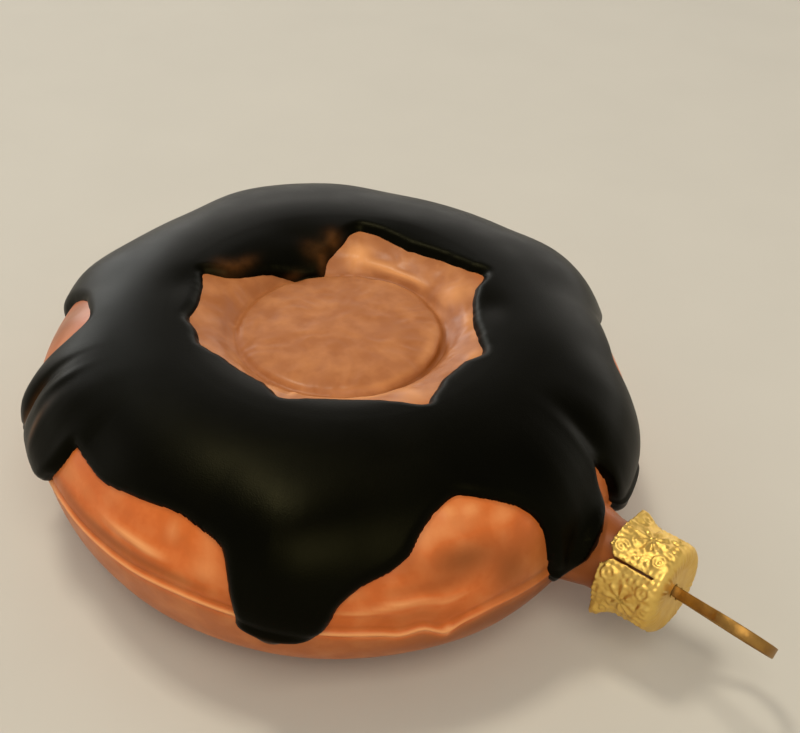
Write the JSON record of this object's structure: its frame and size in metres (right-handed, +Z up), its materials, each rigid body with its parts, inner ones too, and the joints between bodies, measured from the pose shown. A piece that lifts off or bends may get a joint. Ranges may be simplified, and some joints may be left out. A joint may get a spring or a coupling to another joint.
{
  "type": "glass doughnut ornament",
  "caption": "Blown-glass hanging ornament shaped as an iced ring doughnut, with a gilt crown cap and a strip loop to hang it by.",
  "frame": {"origin": "under the middle of the whole ornament, on the surface its foot lies on", "axes": "+X along the neck towards the hanger, +Z up from the surface it lies on, +Y to the left of the neck"},
  "size_m": [0.11, 0.0844, 0.0277],
  "materials": {
    "dough": "satin",
    "icing": "satin",
    "cap": "satin",
    "hanger": "gloss"
  },
  "bodies": {
    "root": {"dough": "dough", "icing": "icing", "cap": "cap", "hanger": "hanger"}
  },
  "joints": []
}
